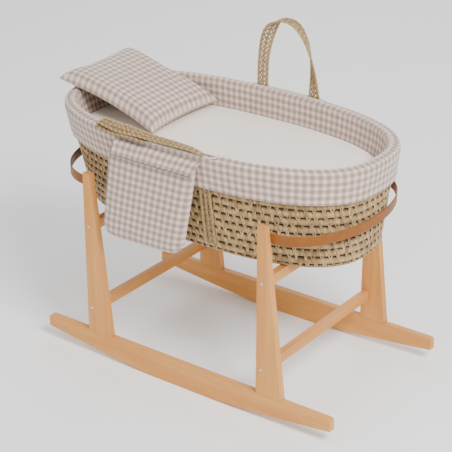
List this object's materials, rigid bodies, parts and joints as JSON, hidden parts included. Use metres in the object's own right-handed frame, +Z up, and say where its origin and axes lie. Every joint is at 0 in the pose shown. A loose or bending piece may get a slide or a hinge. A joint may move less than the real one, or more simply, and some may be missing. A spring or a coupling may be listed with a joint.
{
  "type": "moses basket",
  "caption": "Oval woven baby basket with padded gingham liner, mattress, pillow and side pouch, two carrying handles, standing on a wooden rocking stand with leather straps.",
  "frame": {"origin": "on the floor, under the middle of the whole object's box", "axes": "+X along the basket towards the foot end, -Y the side that carries the pouch, +Z up"},
  "size_m": [0.9344, 0.5098, 0.8089],
  "materials": {
    "beech": "satin",
    "palm": "matte",
    "leather": "satin",
    "gingham": "matte",
    "sheet": "matte",
    "foam": "matte",
    "tape": "matte",
    "steel": "satin"
  },
  "bodies": {
    "stand": {"rocker_near": "beech", "rocker_far": "beech", "leg_near_head": "beech", "leg_near_foot": "beech", "leg_far_head": "beech", "leg_far_foot": "beech", "crossbar_head": "beech", "crossbar_foot": "beech", "stretcher_head": "beech", "stretcher_foot": "beech", "screw_near_head_upper": "steel", "screw_near_head_lower": "steel", "screw_near_foot_upper": "steel", "screw_near_foot_lower": "steel", "screw_far_head_upper": "steel", "screw_far_head_lower": "steel", "screw_far_foot_upper": "steel", "screw_far_foot_lower": "steel", "dowel_near_head_1": "beech", "dowel_near_head_2": "beech", "dowel_near_foot_1": "beech", "dowel_near_foot_2": "beech", "dowel_far_head_1": "beech", "dowel_far_head_2": "beech", "dowel_far_foot_1": "beech", "dowel_far_foot_2": "beech", "strap_head": "leather", "strap_foot": "leather", "strap_screw_near_head": "steel", "strap_screw_near_foot": "steel", "strap_screw_far_head": "steel", "strap_screw_far_foot": "steel"},
    "basket": {"basket_wall": "palm", "basket_floor": "palm", "rim_coil": "palm", "handle_band_near_head": "palm", "handle_band_near_foot": "palm", "handle_band_far_head": "palm", "handle_band_far_foot": "palm", "liner_bumper": "gingham", "liner_skirt": "gingham", "slot_binding_near": "tape", "slot_binding_far": "tape"},
    "handle_far": {"handle_far": "palm"},
    "handle_near": {"handle_near": "palm"},
    "cushion": {"base_cushion": "foam"},
    "bedding": {"mattress": "foam", "fitted_sheet": "sheet"},
    "pillow": {"pillow": "gingham"},
    "pouch": {"pouch_bag": "gingham"},
    "flap": {"pouch_flap": "gingham"}
  },
  "joints": [
    {"name": "basket_lift", "type": "slide", "parent": "stand", "child": "basket", "axis": [0, 0, 1], "range_m": [0, 0.3]},
    {"name": "handle_far_hinge", "type": "hinge", "parent": "basket", "child": "handle_far", "pos_m": [0.02025, 0.23659, 0.6231], "axis": [-1, 0, 0], "range_deg": [-35, 45]},
    {"name": "handle_near_hinge", "type": "hinge", "parent": "basket", "child": "handle_near", "pos_m": [0.02025, -0.191, 0.632], "axis": [-1, 0, 0], "range_deg": [0, 85]},
    {"name": "cushion_lift", "type": "slide", "parent": "basket", "child": "cushion", "axis": [0, 0, 1], "range_m": [0, 0.25]},
    {"name": "mattress_lift", "type": "slide", "parent": "cushion", "child": "bedding", "axis": [0, 0, 1], "range_m": [0, 0.25]},
    {"name": "pillow_lift", "type": "slide", "parent": "bedding", "child": "pillow", "axis": [0, 0, 1], "range_m": [0, 0.2]},
    {"name": "pouch_swing", "type": "hinge", "parent": "basket", "child": "pouch", "pos_m": [-0.04325, -0.23296, 0.6106], "axis": [-1, 0, 0], "range_deg": [0, 25]},
    {"name": "flap_open", "type": "hinge", "parent": "pouch", "child": "flap", "pos_m": [-0.04325, -0.23296, 0.6106], "axis": [-1, 0, 0], "range_deg": [0, 60]}
  ]
}
